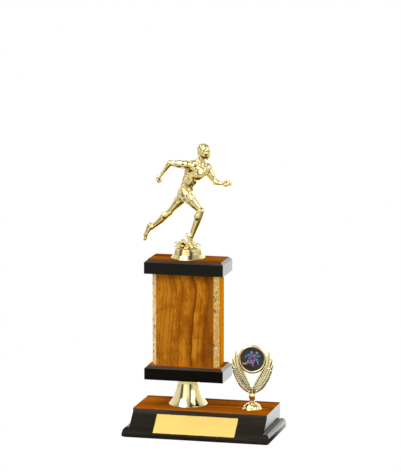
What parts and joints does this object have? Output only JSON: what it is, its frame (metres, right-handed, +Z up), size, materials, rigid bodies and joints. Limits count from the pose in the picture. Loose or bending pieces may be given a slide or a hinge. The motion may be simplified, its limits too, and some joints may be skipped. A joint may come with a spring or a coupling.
{
  "type": "figure trophy",
  "caption": "Free-standing trophy: running figure on a wood-grain column, with a winged disc holder, on a black plinth with a blank name plate.",
  "frame": {"origin": "middle of the felt's underside, where the trophy stands", "axes": "+Z up, +X to the viewer's right seen from the front, -Y towards the name plate's side"},
  "size_m": [0.16, 0.087, 0.3107],
  "materials": {
    "gold_plating": "vacuum metallised gold, mirror gloss",
    "black_gloss": "MDF under gloss black foil",
    "wood_foil": "printed wood-grain foil, semi-gloss lacquer",
    "wood_foil_light": "printed light wood-grain foil, semi-gloss lacquer",
    "particle_board": "raw particle board",
    "prism_tape": "gold prismatic foil",
    "plate_metal": "satin brass, blank",
    "felt": "black felt",
    "tape": "double-sided tape",
    "steel": "zinc-plated steel",
    "printed_disc": "printed disc, gloss"
  },
  "bodies": {
    "stand": {"felt_pad": "felt", "plinth_core": "black_gloss", "plinth_veneer": "wood_foil", "plate_tape": "tape", "name_plate": "plate_metal", "riser": "gold_plating", "lower_slab": "black_gloss", "lower_slab_veneer": "wood_foil", "column_core": "particle_board", "column_front_veneer": "wood_foil", "column_back_veneer": "wood_foil", "column_left_veneer": "wood_foil_light", "column_right_veneer": "wood_foil_light", "corner_strip_front_left": "prism_tape", "corner_strip_front_right": "prism_tape", "corner_strip_rear_left": "prism_tape", "corner_strip_rear_right": "prism_tape", "upper_slab": "black_gloss", "upper_slab_veneer": "wood_foil", "rod_nut": "steel", "rod_washer": "steel", "tie_rod": "steel", "holder_screw": "steel", "holder_washer": "steel"},
    "figure": {"figure_pedestal": "gold_plating", "pedestal_nut": "steel", "runner_figure": "gold_plating"},
    "holder": {"wing_holder": "gold_plating", "holder_nut": "steel", "insert_tape": "tape", "holder_insert": "printed_disc"}
  },
  "joints": [
    {"name": "figure_turn", "type": "hinge", "parent": "stand", "child": "figure", "pos_m": [-0.0205, 0.0116, 0.1869], "axis": [0, 0, 1], "continuous": true},
    {"name": "holder_turn", "type": "hinge", "parent": "stand", "child": "holder", "pos_m": [0.052, 0.003, 0.0274], "axis": [0, 0, 1], "continuous": true}
  ]
}
